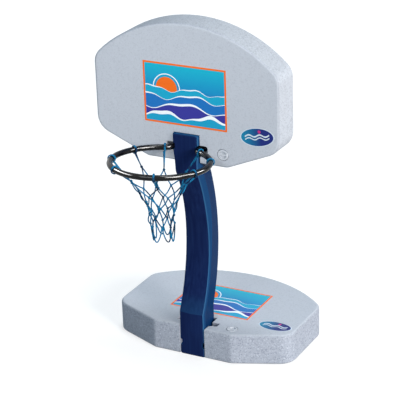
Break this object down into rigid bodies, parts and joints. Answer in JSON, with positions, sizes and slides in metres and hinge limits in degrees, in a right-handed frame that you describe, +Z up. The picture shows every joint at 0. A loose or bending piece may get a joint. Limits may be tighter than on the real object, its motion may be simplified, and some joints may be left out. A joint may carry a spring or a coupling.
{
  "type": "poolside basketball hoop",
  "caption": "Poolside basketball hoop: a water-fill base tank, a bowed post, a matching tank as backboard, and a push-in rim with net.",
  "frame": {"origin": "on the floor, under the middle of the base tank's underside", "axes": "+Z up, the hoop faces -Y, +X to the right when the hoop is looked at from the front"},
  "size_m": [0.832, 1.0001, 1.462],
  "materials": {
    "tank_plastic": "blow-moulded polyethylene, pale blue-grey with fine granite speckle, satin",
    "cap_plastic": "injection-moulded pale grey plastic, satin",
    "post_plastic": "blow-moulded navy blue polyethylene, soft gloss",
    "rim_paint": "steel tube, gloss black powder coat",
    "plug_plastic": "moulded black plastic",
    "washer_rubber": "black rubber",
    "net_twine": "braided blue twine, knotted, matte"
  },
  "bodies": {
    "base": {"base_tank": "tank_plastic"},
    "base_cap_seat": {"base_cap_washer": "washer_rubber"},
    "base_cap": {"base_fill_cap": "cap_plastic"},
    "post_and_board": {"post": "post_plastic", "backboard_tank": "tank_plastic"},
    "board_cap_seat": {"backboard_cap_washer": "washer_rubber"},
    "board_cap": {"backboard_fill_cap": "cap_plastic"},
    "rim_and_net": {"rim": "rim_paint", "rim_end_plug_left": "plug_plastic", "rim_end_plug_right": "plug_plastic", "net": "net_twine"}
  },
  "joints": [
    {"name": "post_lift", "type": "slide", "parent": "base", "child": "post_and_board", "axis": [0, 0, 1], "range_m": [0, 0.14]},
    {"name": "rim_pull", "type": "slide", "parent": "post_and_board", "child": "rim_and_net", "axis": [0, -1, 0], "range_m": [0, 0.13]},
    {"name": "base_cap_rise", "type": "slide", "parent": "base", "child": "base_cap_seat", "axis": [0, 0, 1], "range_m": [0, 0.0135]},
    {"name": "base_cap_turn", "type": "hinge", "parent": "base_cap_seat", "child": "base_cap", "pos_m": [0.165, -0.2365, 0.134], "axis": [0, 0, 1], "range_deg": [0, 1620]},
    {"name": "board_cap_rise", "type": "slide", "parent": "post_and_board", "child": "board_cap_seat", "axis": [0, -1, 0], "range_m": [0, 0.0135]},
    {"name": "board_cap_turn", "type": "hinge", "parent": "board_cap_seat", "child": "board_cap", "pos_m": [0.165, -0.277, 0.9345], "axis": [0, -1, 0], "range_deg": [0, 1620]}
  ],
  "couplings": [
    {"joint": "base_cap_rise", "follows": "base_cap_turn", "m_per_rad": 0.00047746},
    {"joint": "board_cap_rise", "follows": "board_cap_turn", "m_per_rad": 0.00047746}
  ]
}
